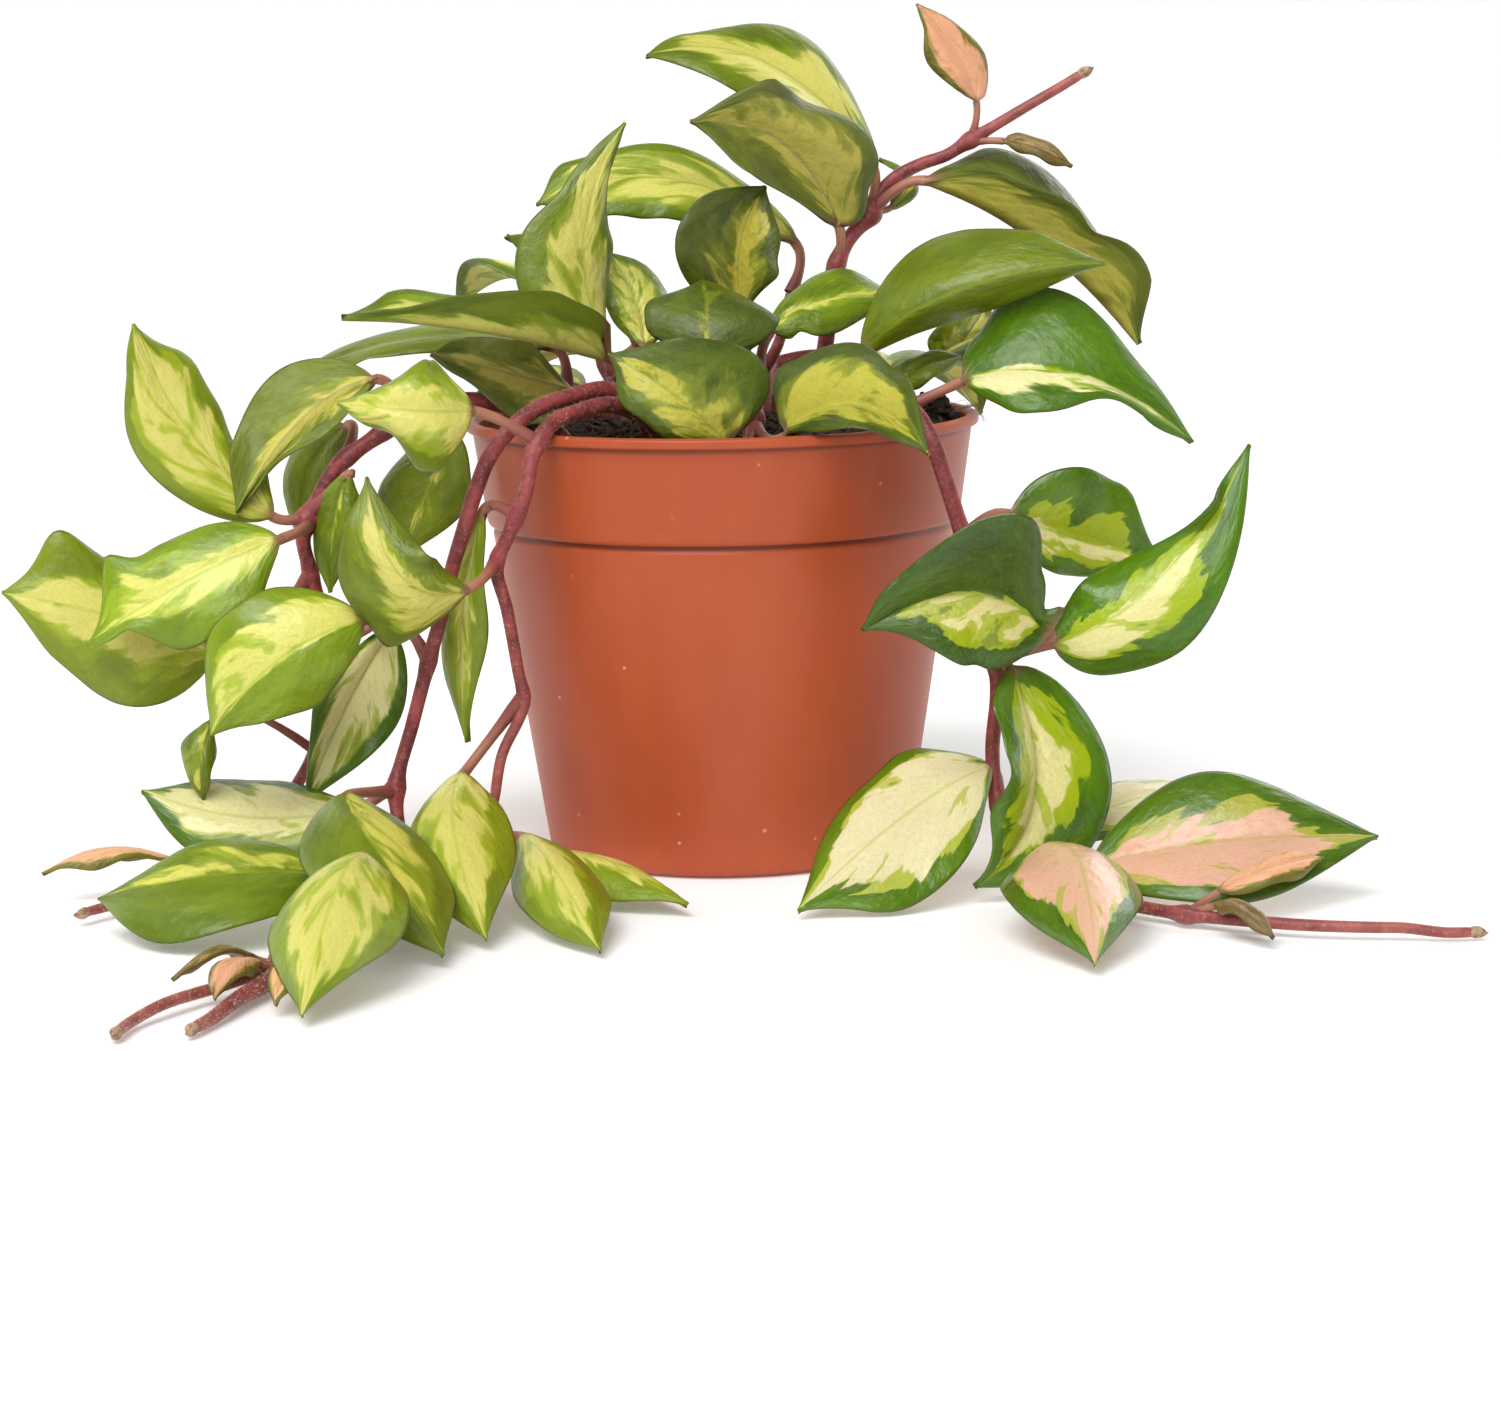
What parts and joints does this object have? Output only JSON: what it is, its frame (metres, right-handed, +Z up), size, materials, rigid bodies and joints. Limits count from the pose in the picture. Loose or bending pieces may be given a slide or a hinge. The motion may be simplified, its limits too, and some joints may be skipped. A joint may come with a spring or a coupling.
{
  "type": "potted trailing wax plant",
  "caption": "Trailing wax plant with thick cream, yellow, pink and green leaves on maroon stems, in a terracotta-coloured plastic nursery pot",
  "frame": {"origin": "centre of the pot's flat underside, on the surface it stands on", "axes": "+Z up along the pot's axis, -Y towards the front of the picture, +X towards the right of the picture"},
  "size_m": [0.3172, 0.2735, 0.1961],
  "materials": {
    "terracotta_plastic": "satin",
    "peat_soil": "rough",
    "foliage": "waxy"
  },
  "bodies": {
    "root": {"pot": "terracotta_plastic", "soil": "peat_soil", "vine_left_outer": "foliage", "vine_left_middle": "foliage", "vine_left_inner": "foliage", "vine_right": "foliage", "vine_top": "foliage", "vine_rear": "foliage", "shoot_left": "foliage", "shoot_back": "foliage", "shoot_front": "foliage", "shoot_right": "foliage", "shoot_rear": "foliage"}
  },
  "joints": []
}
